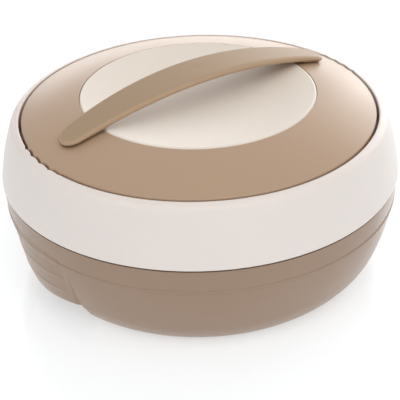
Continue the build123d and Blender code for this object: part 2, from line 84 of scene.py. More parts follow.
taupe = linear(176, 147, 121)
# the shell's brown, darkened partly as painted shade for the base below the collar
shell_taupe_and_shade = linear(150, 123, 101)
grip_taupe = linear(164, 138, 111)
ivory = linear(229, 219, 213)
cream = linear(230, 219, 207)
steel_grey = linear(205, 206, 208)
zinc_grey = linear(176, 178, 182)
foot_brown = linear(78, 68, 60)
seal_white = linear(222, 218, 210)
foam_cream = linear(226, 212, 172)
print("taupe in linear light", [round(c, 3) for c in taupe[:3]])

# %% [markdown]
# ## One shared effect: the skin of a moulding
#
# Injection-moulded plastic is never perfectly even. The steel mould is spark-eroded,
# which leaves a grain of about half a millimetre, and the plastic cools at different
# rates, which leaves broad clouds where the gloss changes a little. Both come from
# noise, so one shader node group makes them for every plastic, rubber and foam here.
# It puts out only values that vary over the surface: a height for a Bump node, a
# roughness and a tinted colour.


# %% Node helpers
def new_group(name, inputs, outputs):
    """An empty shader group with sockets given as (name, type, default)."""
    tree = bpy.data.node_groups.new(name, "ShaderNodeTree")
    for socket, kind, default in inputs:
        made = tree.interface.new_socket(socket, in_out="INPUT", socket_type=kind)
        if default is not None:
            made.default_value = default
    for socket, kind in outputs:
        tree.interface.new_socket(socket, in_out="OUTPUT", socket_type=kind)
    return tree, tree.nodes.new("NodeGroupInput"), tree.nodes.new("NodeGroupOutput")


def add_node(tree, kind, **settings):
    node = tree.nodes.new(kind)
    for key, value in settings.items():
        setattr(node, key, value)
    return node


def math_node(tree, operation, *operands):
    """A Math node; each operand is a socket or a number. Returns its output."""
    node = add_node(tree, "ShaderNodeMath", operation=operation)
    for index, value in enumerate(operands):
        if isinstance(value, (int, float)):
            node.inputs[index].default_value = value
        else:
            tree.links.new(value, node.inputs[index])
    return node.outputs[0]


def brighten(tree, colour, factor):
    """The colour times a factor that changes over the surface."""
    node = add_node(tree, "ShaderNodeVectorMath", operation="SCALE")
    tree.links.new(colour, node.inputs[0])
    tree.links.new(factor, node.inputs["Scale"])
    return node.outputs[0]


# %% The moulded skin group
def build_moulded_skin():
    tree, given, out = new_group(
        "moulded_skin",
        [("Vector", "NodeSocketVector", None),
         ("Colour", "NodeSocketColor", (0.5, 0.5, 0.5, 1)),
         ("Roughness", "NodeSocketFloat", 0.4),
         ("Gloss Clouds", "NodeSocketFloat", 0.05),
         ("Colour Clouds", "NodeSocketFloat", 0.03),
         ("Grain Scale", "NodeSocketFloat", 3000.0),
         ("Cloud Scale", "NodeSocketFloat", 22.0)],
        [("Colour", "NodeSocketColor"), ("Roughness", "NodeSocketFloat"),
         ("Height", "NodeSocketFloat")])
    link = tree.links.new
    grain = add_node(tree, "ShaderNodeTexNoise")
    grain.inputs["Detail"].default_value = 1.0
    link(given.outputs["Vector"], grain.inputs["Vector"])
    link(given.outputs["Grain Scale"], grain.inputs["Scale"])
    cloud = add_node(tree, "ShaderNodeTexNoise")
    cloud.inputs["Detail"].default_value = 3.0
    link(given.outputs["Vector"], cloud.inputs["Vector"])
    link(given.outputs["Cloud Scale"], cloud.inputs["Scale"])
    swing = math_node(tree, "SUBTRACT", cloud.outputs["Fac"], 0.5)
    gloss = math_node(tree, "MULTIPLY", swing, given.outputs["Gloss Clouds"])
    rough = math_node(tree, "ADD", given.outputs["Roughness"], gloss)
    shade = math_node(tree, "MULTIPLY", swing, given.outputs["Colour Clouds"])
    tinted = brighten(tree, given.outputs["Colour"], math_node(tree, "ADD", shade, 1.0))
    link(tinted, out.inputs["Colour"])
    link(rough, out.inputs["Roughness"])
    link(grain.outputs["Fac"], out.inputs["Height"])
    return tree


moulded_skin = build_moulded_skin()
print("group", moulded_skin.name, "with", len(moulded_skin.nodes), "nodes")

# %% [markdown]
# ## Plastics, rubber and foam
#
# Each moulded material places the shared group with its own values. Two of them need
# something more. Light goes a few millimetres into pale plastic and comes out again
# beside the place where it went in, which softens every shadow on it, so the ivory
# and the cream let some light in. The strap's material paints a highlight along its
# rounded rim, so the rim looks paler than its top; it reads an attribute called rim,
# which the strap's mesh will carry.

# %% Moulded materials
grain_strength = 0.6
soaked_share = 0.35                # share of the light that goes into pale plastic
soaked_colours = (1.0, 0.8, 0.65)  # red light goes deepest


def moulded(name, colour, roughness, grain=0.5, relief=0.004, specular=0.5, clouds=0.03,
            depth=0.0, rim_highlight_paint=0.0):
    """A moulded material; grain, its relief and the depth of light are in mm."""
    material = bpy.data.materials.new(name)
    material.use_nodes = True
    tree = material.node_tree
    link = tree.links.new
    shader = tree.nodes["Principled BSDF"]
    shader.inputs["Specular IOR Level"].default_value = specular
    if depth:
        shader.inputs["Subsurface Weight"].default_value = soaked_share
        shader.inputs["Subsurface Radius"].default_value = soaked_colours
        shader.inputs["Subsurface Scale"].default_value = depth * mm
    place = add_node(tree, "ShaderNodeTexCoord")
    skin = add_node(tree, "ShaderNodeGroup", node_tree=moulded_skin)
    skin.inputs["Colour"].default_value = colour
    skin.inputs["Roughness"].default_value = roughness
    skin.inputs["Colour Clouds"].default_value = clouds
    skin.inputs["Grain Scale"].default_value = 1 / (grain * mm)
    link(place.outputs["Object"], skin.inputs["Vector"])
    bump = add_node(tree, "ShaderNodeBump")
    bump.inputs["Strength"].default_value = grain_strength
    bump.inputs["Distance"].default_value = relief * mm
    link(skin.outputs["Height"], bump.inputs["Height"])
    shade = skin.outputs["Colour"]
    # A painted highlight: the colour is made paler where the rim attribute marks the strap's
    # rounded rim.
    if rim_highlight_paint:
        rim = add_node(tree, "ShaderNodeAttribute", attribute_name="rim")
        painted_highlight = math_node(tree, "MULTIPLY_ADD", rim.outputs["Fac"], rim_highlight_paint, 1.0)
        shade = brighten(tree, shade, painted_highlight)
    link(shade, shader.inputs["Base Color"])
    link(skin.outputs["Roughness"], shader.inputs["Roughness"])
    link(bump.outputs["Normal"], shader.inputs["Normal"])
    return material


taupe_plastic = moulded("taupe_plastic", taupe, 0.36)
shell_plastic = moulded("shell_plastic", shell_taupe_and_shade, 0.26)
# The strap's material paints a highlight along its rounded rim.
grip_plastic = moulded("grip_plastic", grip_taupe, 0.5, specular=0.35, rim_highlight_paint=0.22)
ivory_plastic = moulded("ivory_plastic", ivory, 0.42, depth=4.0)
cream_plastic = moulded("cream_plastic", cream, 0.42, depth=4.0)
foot_pad_rubber = moulded("foot_pad_rubber", foot_brown, 0.75, grain=0.8, relief=0.02)
soft_seal_rubber = moulded("soft_seal_rubber", seal_white, 0.5, grain=1.0, relief=0.01)
cast_foam = moulded("cast_foam", foam_cream, 0.85, grain=1.6, relief=0.25,
                    specular=0.3, clouds=0.12)
print("materials that place", moulded_skin.name + ":", moulded_skin.users)

# %% [markdown]
# ## Spun steel
#
# The bowl is a steel disc pressed over a turning block, so its polish lines run
# round the axis. A noise that is stretched along the direction of turning needs only
# two values: how far a point is from the axis, and how high it is.

# %% Steel materials
line_contrast = 0.16       # how much the polish lines change the roughness
line_strength = 0.5


def spun_steel(name, colour, roughness, line, relief):
    """Steel with polish lines round the upright axis; line and relief are in mm."""
    material = bpy.data.materials.new(name)
    material.use_nodes = True
    tree = material.node_tree
    link = tree.links.new
    shader = tree.nodes["Principled BSDF"]
    shader.inputs["Base Color"].default_value = colour
    shader.inputs["Metallic"].default_value = 1.0
    place = add_node(tree, "ShaderNodeTexCoord")
    split = add_node(tree, "ShaderNodeSeparateXYZ")
    link(place.outputs["Object"], split.inputs[0])
    across = math_node(tree, "MULTIPLY", split.outputs["X"], split.outputs["X"])
    along = math_node(tree, "MULTIPLY", split.outputs["Y"], split.outputs["Y"])
    far = math_node(tree, "SQRT", math_node(tree, "ADD", across, along))
    join = add_node(tree, "ShaderNodeCombineXYZ")
    link(far, join.inputs["X"])
    link(split.outputs["Z"], join.inputs["Y"])
    lines = add_node(tree, "ShaderNodeTexNoise")
    lines.inputs["Scale"].default_value = 1 / (line * mm)
    lines.inputs["Detail"].default_value = 2.0
    link(join.outputs[0], lines.inputs["Vector"])
    swing = math_node(tree, "MULTIPLY", lines.outputs["Fac"], line_contrast)
    rough = math_node(tree, "ADD", swing, roughness - line_contrast / 2)
    link(rough, shader.inputs["Roughness"])
    bump = add_node(tree, "ShaderNodeBump")
    bump.inputs["Strength"].default_value = line_strength
    bump.inputs["Distance"].default_value = relief * mm
    link(lines.outputs["Fac"], bump.inputs["Height"])
    link(bump.outputs["Normal"], shader.inputs["Normal"])
    return material


spun_bowl_steel = spun_steel("spun_bowl_steel", steel_grey, 0.22, line=0.8, relief=0.01)
zinc_steel = spun_steel("zinc_steel", zinc_grey, 0.38, line=0.3, relief=0.01)
print("steels:", spun_bowl_steel.name, "and", zinc_steel.name)

# %% Give every CAD piece its finish
finishes = {
    "base_shell": shell_plastic,
    "bottom_cover": shell_plastic,
    "fill_plug": shell_plastic,
    "lid_cover": taupe_plastic,
    "lid_handle": grip_plastic,
    "collar_ring": ivory_plastic,
    "lid_dish": cream_plastic,
    "lid_liner": ivory_plastic,
    "lid_plug": ivory_plastic,
    "inner_bowl": spun_bowl_steel,
    "cover_screws": zinc_steel,
    "handle_screws": zinc_steel,
    "handle_washers": zinc_steel,
    "base_feet": foot_pad_rubber,
    "bowl_gasket": soft_seal_rubber,
    "lid_seal": soft_seal_rubber,
    "base_foam": cast_foam,
    "lid_foam": cast_foam,
}
for name, material in finishes.items():
    for slot in nodes[name].material_slots:
        slot.material = material
print("finished", len(finishes), "of", len(nodes), "nodes")

# %% [markdown]
# ## The strap handle
#
# The handle is one long arched strap that lies on the lid at both ends. A modeller
# could sculpt it by hand, but its shape follows a rule. Seen from above, its outline
# is two wide arcs and two round ends. Seen from the side, it is one arc. Every edge is
# rounded, and the rounding depends only on how far a point is from the outline. So a
# Geometry Nodes tree starts from a flat grid and works out where each point goes from
# a few named sizes: one direction of the grid runs along the strap, and the other
# runs round its section, over the top and back underneath.


# %% Geometry Nodes helpers
def new_geometry_tree(name, inputs):
    """A geometry tree with input sockets given as (name, type)."""
    tree = bpy.data.node_groups.new(name, "GeometryNodeTree")
    for socket, kind in inputs:
        tree.interface.new_socket(socket, in_out="INPUT", socket_type=kind)
    tree.interface.new_socket("Geometry", in_out="OUTPUT", socket_type="NodeSocketGeometry")
    return tree, tree.nodes.new("NodeGroupInput"), tree.nodes.new("NodeGroupOutput")


weld = 0.02 * mm


def finish_geometry(tree, mesh, material, out):
    """End a tree: close the seams, shade smooth, realize instances, set the material."""
    link = tree.links.new
    merge = add_node(tree, "GeometryNodeMergeByDistance")
    merge.inputs["Distance"].default_value = weld
    smooth = add_node(tree, "GeometryNodeSetShadeSmooth")
    real = add_node(tree, "GeometryNodeRealizeInstances")
    paint = add_node(tree, "GeometryNodeSetMaterial")
    link(mesh, merge.inputs["Geometry"])
    link(merge.outputs["Geometry"], smooth.inputs["Geometry"])
    link(smooth.outputs["Geometry"], real.inputs["Geometry"])
    link(real.outputs["Geometry"], paint.inputs["Geometry"])
    link(material, paint.inputs["Material"])
    link(paint.outputs["Geometry"], out.inputs[0])


def grow(name, tree, values):
    """Run a geometry tree on an empty mesh and keep the result as a plain mesh."""
    holder = bpy.data.objects.new(name + "_maker", bpy.data.meshes.new(name + "_maker"))
    bpy.context.scene.collection.objects.link(holder)
    modifier = holder.modifiers.new("maker", "NODES")
    modifier.node_group = tree
    for item in tree.interface.items_tree:
        if item.item_type == "SOCKET" and item.in_out == "INPUT":
            modifier[item.identifier] = values[item.name]
    bpy.context.view_layer.update()
    ready = holder.evaluated_get(bpy.context.evaluated_depsgraph_get())
    mesh = bpy.data.meshes.new_from_object(ready)
    mesh.name = name
    piece = bpy.data.objects.new(name, mesh)
    bpy.context.scene.collection.objects.link(piece)
    holder.modifiers.remove(modifier)
    bpy.data.objects.remove(holder)
    print(name, len(mesh.polygons), "faces")
    return piece


# %% Sums with nodes
class NodeSums:
    """Sums that are worked out by the Math nodes of one tree, point by point."""

    def __init__(self, tree):
        self.tree = tree

    def calc(self, operation, *operands):
        return math_node(self.tree, operation, *operands)

    def square(self, value):
        return self.calc("MULTIPLY", value, value)

    def length(self, a, b):
        """Length of the slanted side over a and b."""
        return self.calc("SQRT", self.calc("MULTIPLY_ADD", a, a, self.square(b)))

    def share(self, value):
        """The value, kept between 0 and 1."""
        return self.calc("MAXIMUM", self.calc("MINIMUM", value, 1.0), 0.0)

    def ramp(self, value, start, run):
        """0 up to start, then rising to 1 over run."""
        return self.share(self.calc("DIVIDE", self.calc("SUBTRACT", value, start), run))

    def mix(self, share, low, high):
        return self.calc("MULTIPLY_ADD", share, self.calc("SUBTRACT", high, low), low)

    def rounding(self, radius, inside):
        """How far a rounded edge has dropped at a distance inside the outline."""
        short = self.calc("MAXIMUM", self.calc("SUBTRACT", radius, inside), 0.0)
        level = self.calc("SUBTRACT", self.square(radius), self.square(short))
        return self.calc("SUBTRACT", radius, self.calc("SQRT", self.calc("MAXIMUM", level, 0.0)))


# %% [markdown]
# ### The strap seen from above
#
# A wide arc touches the round end from inside, so the distance between their centres
# is the difference of their radii. With the half width and the reach given, that
# leaves one unknown, how far the wide arc's centre lies off the strap's middle line,
# and it comes out of a plain division.


# %% Plan of the strap
def strap_plan(sums, sizes, x, ax):
    """Half width of the strap at x; the wide arc's radius and offset; the end's centre."""
    calc = sums.calc
    end_radius = sizes["End Radius"]
    spread = calc("SUBTRACT", sizes["Half Width"], end_radius)
    centre = calc("SUBTRACT", sizes["Reach"], end_radius)
    gap = calc("SUBTRACT", sums.square(centre), sums.square(spread))
    offset = calc("DIVIDE", gap, calc("MULTIPLY", spread, 2.0))
    wide = calc("ADD", offset, sizes["Half Width"])
    apart = sums.length(centre, offset)
    meet = calc("ADD", centre, calc("DIVIDE", calc("MULTIPLY", end_radius, centre), apart))
    side = calc("SQRT", calc("SUBTRACT", sums.square(wide), sums.square(x)))
    side = calc("SUBTRACT", side, offset)
    beyond = calc("SUBTRACT", ax, centre)
    end = calc("SUBTRACT", sums.square(end_radius), sums.square(beyond))
    end = calc("SQRT", calc("MAXIMUM", end, 0.0))
    half = sums.mix(calc("GREATER_THAN", ax, meet), side, end)
    return half, wide, offset, centre


def distance_inside(sums, sizes, x, ax, y, plan):
    """How far a point lies inside the outline: from the wide arc, or from the round end."""
    calc = sums.calc
    wide, offset, centre = plan
    from_arc = sums.length(x, calc("ADD", calc("ABSOLUTE", y), offset))
    inside = calc("SUBTRACT", wide, from_arc)
    from_end = sums.length(calc("SUBTRACT", ax, centre), y)
    to_end = calc("SUBTRACT", sizes["End Radius"], from_end)
    to_end = calc("ADD", to_end, calc("LESS_THAN", ax, centre))    # a metre more: never nearest
    return calc("MAXIMUM", calc("MINIMUM", inside, to_end), 0.0)


# %% [markdown]
# ### Heights
#
# The strap's top is an arc through its crown and its two tips. The lid below rises
# from its outer lip to the edge of the inlay in a soft bulge. Both are worked out at
# every point, so the strap can come down on the lid without sinking into it.


# %% Heights of the strap's arc and of the lid
def arc_height(sums, sizes, x):
    calc = sums.calc
    fall = sizes["Fall"]
    chord = calc("MULTIPLY_ADD", sizes["Reach"], sizes["Reach"], sums.square(fall))
    radius = calc("DIVIDE", chord, calc("MULTIPLY", fall, 2.0))
    drop = calc("SQRT", calc("SUBTRACT", sums.square(radius), sums.square(x)))
    return calc("ADD", calc("SUBTRACT", sizes["Crown Height"], radius), drop)


def lid_height(sums, sizes, x, y):
    calc = sums.calc
    ring = calc("SUBTRACT", sizes["Lid Radius"], sizes["Inlay Radius"])
    out = calc("DIVIDE", calc("SUBTRACT", sums.length(x, y), sizes["Inlay Radius"]), ring)
    out = sums.share(out)
    slope = sums.mix(out, sizes["Inlay Edge Height"], sizes["Lip Height"])
    bulge = calc("MULTIPLY", out, calc("SUBTRACT", 1.0, out))
    bulge = calc("MULTIPLY", bulge, sizes["Ring Bulge"])
    return calc("MULTIPLY_ADD", bulge, 4.0, slope)


# %% [markdown]
# ### The two skins
#
# The upper skin is the arc with a rounded edge and a small dimple at the crown, where
# the plastic was let into the mould. The lower skin follows it at the strap's
# thickness, which thins towards the tips. Over the lid's ring a foot grows down from
# it, a little inside the outline, so the strap stands on the lid and its rim still
# looks thin.

# %% Upper and lower skin
edge_lift = 0.2 * mm       # lowest that the rounded upper edge comes to the lid
least_round = 0.3 * mm
seat_lift = 0.05 * mm      # underside above the lid where it lies on it
taper_run = 24.0 * mm      # length over which the strap thins
foot_run = 6.0 * mm        # length over which the foot comes down
foot_slope = 3.0 * mm      # the same, across the strap
under_round = 0.6          # most of the thickness that the lower edge's rounding takes


def upper_skin(sums, sizes, x, y, top, lid, inside):
    calc = sums.calc
    room = calc("SUBTRACT", calc("SUBTRACT", top, lid), edge_lift)
    edge = calc("MINIMUM", sizes["Edge Round"], calc("MAXIMUM", room, least_round))
    upper = calc("SUBTRACT", top, sums.rounding(edge, inside))
    along = calc("DIVIDE", x, sizes["Dimple Length"])
    over = calc("DIVIDE", y, sizes["Dimple Width"])
    away = calc("MULTIPLY_ADD", along, along, sums.square(over))
    dent = calc("EXPONENT", calc("MULTIPLY", away, -1.0))
    return calc("SUBTRACT", upper, calc("MULTIPLY", sizes["Dimple Depth"], dent))


def lower_skin(sums, sizes, ax, top, lid, inside):
    calc = sums.calc
    taper = calc("MULTIPLY", sums.ramp(ax, sizes["Foot Start"], taper_run), sizes["Tip Taper"])
    thick = calc("SUBTRACT", sizes["Thickness"], taper)
    edge = calc("MINIMUM", sizes["Edge Round"], calc("MULTIPLY", thick, under_round))
    edge = calc("SUBTRACT", thick, edge)
    lower = calc("ADD", calc("SUBTRACT", top, thick), sums.rounding(edge, inside))
    seat = calc("ADD", lid, seat_lift)
    foot = calc("MULTIPLY", sums.ramp(ax, sizes["Foot Start"], foot_run),
                sums.ramp(inside, sizes["Foot Inset"], foot_slope))
    return calc("MAXIMUM", sums.mix(foot, lower, seat), seat)


# %% The strap tree
strap_sizes = ("Reach", "Half Width", "End Radius", "Crown Height", "Fall", "Thickness",
               "Tip Taper", "Foot Start", "Foot Inset", "Edge Round", "Inlay Radius",
               "Lid Radius", "Inlay Edge Height", "Lip Height", "Ring Bulge",
               "Dimple Depth", "Dimple Length", "Dimple Width")
painted_rim_band = 2.2 * mm        # width of the rounded rim that gets the painted highlight


def section_row(sums, across, loop, grid_y):
    """Where a grid row lies round the section: 1 or 0 for underneath, and -1 to 1 across."""
    calc = sums.calc
    row = calc("ROUND", calc("MULTIPLY", calc("ADD", grid_y, 0.5), loop))
    last = calc("GREATER_THAN", row, calc("SUBTRACT", loop, 0.5))
    below = calc("SUBTRACT", calc("GREATER_THAN", row, calc("ADD", across, 0.5)), last)
    step = calc("SUBTRACT", row, calc("MULTIPLY", below, calc("ADD", across, 1.0)))
    step = calc("SUBTRACT", step, calc("MULTIPLY", last, loop))
    swing = calc("COSINE", calc("DIVIDE", calc("MULTIPLY", step, pi), across))
    return below, calc("MULTIPLY", swing, calc("MULTIPLY_ADD", below, 2.0, -1.0))


def build_strap_tree():
    sockets = [(name, "NodeSocketFloat") for name in strap_sizes]
    sockets += [("Points Along", "NodeSocketInt"), ("Points Across", "NodeSocketInt"),
                ("Material", "NodeSocketMaterial")]
    tree, given, out = new_geometry_tree("arched_strap", sockets)
    sizes = {name: given.outputs[name] for name in strap_sizes}
    sums = NodeSums(tree)
    calc = sums.calc
    link = tree.links.new

    # The rows go over the top, back underneath, and end on the first row again.
    across = given.outputs["Points Across"]
    loop = calc("MULTIPLY_ADD", across, 2.0, 2.0)
    grid = add_node(tree, "GeometryNodeMeshGrid")
    grid.inputs["Size X"].default_value = 2.0
    grid.inputs["Size Y"].default_value = 1.0
    link(given.outputs["Points Along"], grid.inputs["Vertices X"])
    link(calc("ADD", loop, 1.0), grid.inputs["Vertices Y"])
    place = add_node(tree, "GeometryNodeInputPosition")
    split = add_node(tree, "ShaderNodeSeparateXYZ")
    link(place.outputs[0], split.inputs[0])

    # Along the strap, points crowd together towards the round ends.
    turn = calc("MULTIPLY", split.outputs["X"], pi / 2)
    x = calc("MULTIPLY", sizes["Reach"], calc("SINE", turn))
    ax = calc("ABSOLUTE", x)
    half, *plan = strap_plan(sums, sizes, x, ax)
    below, swing = section_row(sums, across, loop, split.outputs["Y"])
    y = calc("MULTIPLY", swing, half)
    inside = distance_inside(sums, sizes, x, ax, y, plan)
    top = arc_height(sums, sizes, x)
    lid = lid_height(sums, sizes, x, y)
    upper = upper_skin(sums, sizes, x, y, top, lid, inside)
    lower = lower_skin(sums, sizes, ax, top, lid, inside)
    z = sums.mix(below, upper, lower)

    # The rim attribute marks the band along the outline where the strap's material paints a
    # highlight.
    rim = add_node(tree, "GeometryNodeStoreNamedAttribute", data_type="FLOAT", domain="POINT")
    rim.inputs["Name"].default_value = "rim"
    link(grid.outputs["Mesh"], rim.inputs["Geometry"])
    link(calc("SUBTRACT", 1.0, sums.ramp(inside, 0.0, painted_rim_band)), rim.inputs["Value"])
    join = add_node(tree, "ShaderNodeCombineXYZ")
    for axis, value in zip("XYZ", (x, y, z)):
        link(value, join.inputs[axis])
    move = add_node(tree, "GeometryNodeSetPosition")
    link(rim.outputs["Geometry"], move.inputs["Geometry"])
    link(join.outputs[0], move.inputs["Position"])
    finish_geometry(tree, move.outputs["Geometry"], given.outputs["Material"], out)
    return tree


# %% The strap from the frame's own sizes
ring_bulge = 1.2 * mm
tip_rise = 4.6 * mm        # the strap's top above the lid at its tips
tip_share = (handle_high.x - dish_high.x) / (cover_high.y - dish_high.x)
lid_at_tip = (cover_high.z + tip_share * (collar_high.z - cover_high.z)
              + 4 * ring_bulge * tip_share * (1 - tip_share))
strap = grow("strap_handle", build_strap_tree(), {
    "Reach": handle_high.x,
    "Half Width": handle_high.y,
    "End Radius": 10.0 * mm,
    "Crown Height": handle_high.z,
    "Fall": handle_high.z - lid_at_tip - tip_rise,
    "Thickness": 4.4 * mm,
    "Tip Taper": 1.6 * mm,
    "Foot Start": 80.0 * mm,
    "Foot Inset": 0.4 * mm,
    "Edge Round": 2.4 * mm,
    "Inlay Radius": dish_high.x,
    "Lid Radius": cover_high.y,
    "Inlay Edge Height": cover_high.z,
    "Lip Height": collar_high.z,
    "Ring Bulge": ring_bulge,
    "Dimple Depth": 0.35 * mm,
    "Dimple Length": 2.4 * mm,
    "Dimple Width": 1.6 * mm,
    "Points Along": 301,
    "Points Across": 36,
    "Material": grip_plastic,
})
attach(strap, "lid")
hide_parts("lid_handle")
reach_now = max(v.co.x for v in strap.data.vertices)
print("strap is", round(2 * reach_now / mm, 1), "mm long")

# %% [markdown]
# ## Grip ribs
#
# Low ribs run across both grip lobes at the foot of the shell, so that damp fingers
# don't slip. The lobes' surface isn't a plain cylinder, so the ribs are laid on it:
# arcs start outside the shell, and a Raycast node drops each point straight in until
# it meets the wall. An oval is swept along them with most of it sunk in the wall, so
# each rib stands proud by a third of a millimetre, has soft edges and thins out at
# both ends.

# %% Rib arcs
arc_points = 72
oval_points = 16
ray_length = 0.1
end_sharpness = 4.0        # higher keeps a rib's full width nearer to its ends
inward_sign = -1.0         # the profile's X axis points out of the wall


def stacked_arcs(tree, given):
    """Level arcs round the upright axis, one above the other, outside the shell."""
    link = tree.links.new
    first = add_node(tree, "ShaderNodeCombineXYZ")
    link(given.outputs["Lowest"], first.inputs["Z"])
    apart = add_node(tree, "ShaderNodeCombineXYZ")
    link(given.outputs["Spacing"], apart.inputs["Z"])
    levels = add_node(tree, "GeometryNodeMeshLine")
    link(given.outputs["Count"], levels.inputs["Count"])
    link(first.outputs[0], levels.inputs["Start Location"])
    link(apart.outputs[0], levels.inputs["Offset"])
    arc = add_node(tree, "GeometryNodeCurveArc")
    arc.inputs["Resolution"].default_value = arc_points
    link(given.outputs["Start Radius"], arc.inputs["Radius"])
    link(given.outputs["Start Angle"], arc.inputs["Start Angle"])
    link(given.outputs["Sweep"], arc.inputs["Sweep Angle"])
    copies = add_node(tree, "GeometryNodeInstanceOnPoints")
    link(levels.outputs["Mesh"], copies.inputs["Points"])
    link(arc.outputs["Curve"], copies.inputs["Instance"])
    real = add_node(tree, "GeometryNodeRealizeInstances")
    link(copies.outputs["Instances"], real.inputs["Geometry"])
    return real.outputs["Geometry"]


# %% Arcs laid on the wall
def laid_on_wall(tree, given, arcs):
    """Every point dropped on the wall, straight towards the upright axis."""
    link = tree.links.new
    place = add_node(tree, "GeometryNodeInputPosition")
    inward = add_node(tree, "ShaderNodeVectorMath", operation="MULTIPLY")
    inward.inputs[1].default_value = (-1.0, -1.0, 0.0)
    link(place.outputs[0], inward.inputs[0])
    wall = add_node(tree, "GeometryNodeObjectInfo", transform_space="RELATIVE")
    link(given.outputs["Wall"], wall.inputs["Object"])
    ray = add_node(tree, "GeometryNodeRaycast")
    link(wall.outputs["Geometry"], ray.inputs["Target Geometry"])
    link(inward.outputs[0], ray.inputs["Ray Direction"])
    ray.inputs["Ray Length"].default_value = ray_length
    keep = add_node(tree, "GeometryNodeCaptureAttribute")
    keep.capture_items.new("VECTOR", "Facing")
    link(arcs, keep.inputs["Geometry"])
    link(ray.outputs["Hit Normal"], keep.inputs["Facing"])
    land = add_node(tree, "GeometryNodeSetPosition")
    link(keep.outputs["Geometry"], land.inputs["Geometry"])
    link(ray.outputs["Hit Position"], land.inputs["Position"])
    stand = add_node(tree, "GeometryNodeSetCurveNormal", mode="FREE")
    link(land.outputs["Geometry"], stand.inputs["Curve"])
    link(keep.outputs["Facing"], stand.inputs["Normal"])
    return stand.outputs["Curve"]


# %% Rib section
def sunk_oval(tree, given):
    """The oval that is swept, flattened, with its middle sunk in the wall."""
    link = tree.links.new
    oval = add_node(tree, "GeometryNodeCurvePrimitiveCircle")
    oval.inputs["Resolution"].default_value = oval_points
    oval.inputs["Radius"].default_value = 1.0
    squeeze = add_node(tree, "ShaderNodeCombineXYZ")
    half_thick = math_node(tree, "ADD", given.outputs["Proud"], given.outputs["Sunk"])
    link(half_thick, squeeze.inputs["X"])
    link(math_node(tree, "MULTIPLY", given.outputs["Oval Width"], 0.5), squeeze.inputs["Y"])
    squeeze.inputs["Z"].default_value = 1.0
    sink = add_node(tree, "ShaderNodeCombineXYZ")
    link(math_node(tree, "MULTIPLY", given.outputs["Sunk"], inward_sign), sink.inputs["X"])
    flat = add_node(tree, "GeometryNodeTransform")
    link(oval.outputs["Curve"], flat.inputs["Geometry"])
    link(squeeze.outputs[0], flat.inputs["Scale"])
    link(sink.outputs[0], flat.inputs["Translation"])
    return flat.outputs["Geometry"]


# %% Rib tree
def build_rib_tree():
    tree, given, out = new_geometry_tree("grip_ribs", [
        ("Wall", "NodeSocketObject"), ("Count", "NodeSocketInt"),
        ("Lowest", "NodeSocketFloat"), ("Spacing", "NodeSocketFloat"),
        ("Start Radius", "NodeSocketFloat"), ("Start Angle", "NodeSocketFloat"),
        ("Sweep", "NodeSocketFloat"), ("Oval Width", "NodeSocketFloat"),
        ("Proud", "NodeSocketFloat"), ("Sunk", "NodeSocketFloat"),
        ("Material", "NodeSocketMaterial")])
    link = tree.links.new
    laid = laid_on_wall(tree, given, stacked_arcs(tree, given))
    run = add_node(tree, "GeometryNodeSplineParameter")
    centred = math_node(tree, "MULTIPLY_ADD", run.outputs["Factor"], 2.0, -1.0)
    power = math_node(tree, "POWER", math_node(tree, "ABSOLUTE", centred), end_sharpness)
    full = math_node(tree, "SQRT", math_node(tree, "SUBTRACT", 1.0, power))
    thin = add_node(tree, "GeometryNodeSetCurveRadius")
    link(laid, thin.inputs["Curve"])
    link(full, thin.inputs["Radius"])
    radius = add_node(tree, "GeometryNodeInputRadius")
    sweep = add_node(tree, "GeometryNodeCurveToMesh")
    sweep.inputs["Fill Caps"].default_value = True
    link(thin.outputs["Curve"], sweep.inputs["Curve"])
    link(sunk_oval(tree, given), sweep.inputs["Profile Curve"])
    link(radius.outputs[0], sweep.inputs["Scale"])
    finish_geometry(tree, sweep.outputs["Mesh"], given.outputs["Material"], out)
    return tree


# %% Ribs on both lobes
rib_tree = build_rib_tree()
rib_half_angle = radians(13.2)
for side_name, middle in (("right", 0.0), ("left", pi)):
    ribs = grow("grip_ribs_" + side_name, rib_tree, {
        "Wall": nodes["base_shell"],
        "Count": 3,
        "Lowest": 26.0 * mm,
        "Spacing": 12.15 * mm,
        "Start Radius": 150.0 * mm,
        "Start Angle": middle - rib_half_angle,
        "Sweep": 2 * rib_half_angle,
        "Oval Width": 7.6 * mm,
        "Proud": 0.3 * mm,
        "Sunk": 0.9 * mm,
        "Material": shell_plastic,
    })
    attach(ribs, "base")

# %% [markdown]
# ## The studio
#
# Pictures of pale plastics are often taken in a light tent: white cloth all round and
# a bright floor. The cloth evens out the light and leaves only short, soft shadows.
# The floor is white to the camera. Part of what the camera sees there is plain
# emission, and the rest is a matt floor that takes the object's shadow, under a thin
# gloss that mirrors the object faintly. To all other light the floor is matt white
# cloth that glows a little, because the tent's light comes up through it.

# %% Floor
floor_half = 3.0
floor_data = bpy.data.meshes.new("studio_floor")
floor_data.from_pydata(
    [(-floor_half, -floor_half, 0), (floor_half, -floor_half, 0),
     (floor_half, floor_half, 0), (-floor_half, floor_half, 0)], [], [(0, 1, 2, 3)])
studio_floor = bpy.data.objects.new("studio_floor", floor_data)
bpy.context.scene.collection.objects.link(studio_floor)
print("floor is", 2 * floor_half, "m wide")

# %% Floor paint
floor_white = (0.84, 0.9, 0.94, 1)
floor_shine = 1.9          # strength of the white that the camera sees
floor_glow = 0.32          # light that comes up through the cloth
shadow_share = 0.66        # share of the matt floor that takes the shadow
mirror_share = 0.17
mirror_roughness = 0.12


def seen_directly(tree):
    """1 for what the camera sees, itself or in a gloss, and 0 for all other light."""
    rays = add_node(tree, "ShaderNodeLightPath")
    return math_node(tree, "MAXIMUM", rays.outputs["Is Camera Ray"], rays.outputs["Is Glossy Ray"])


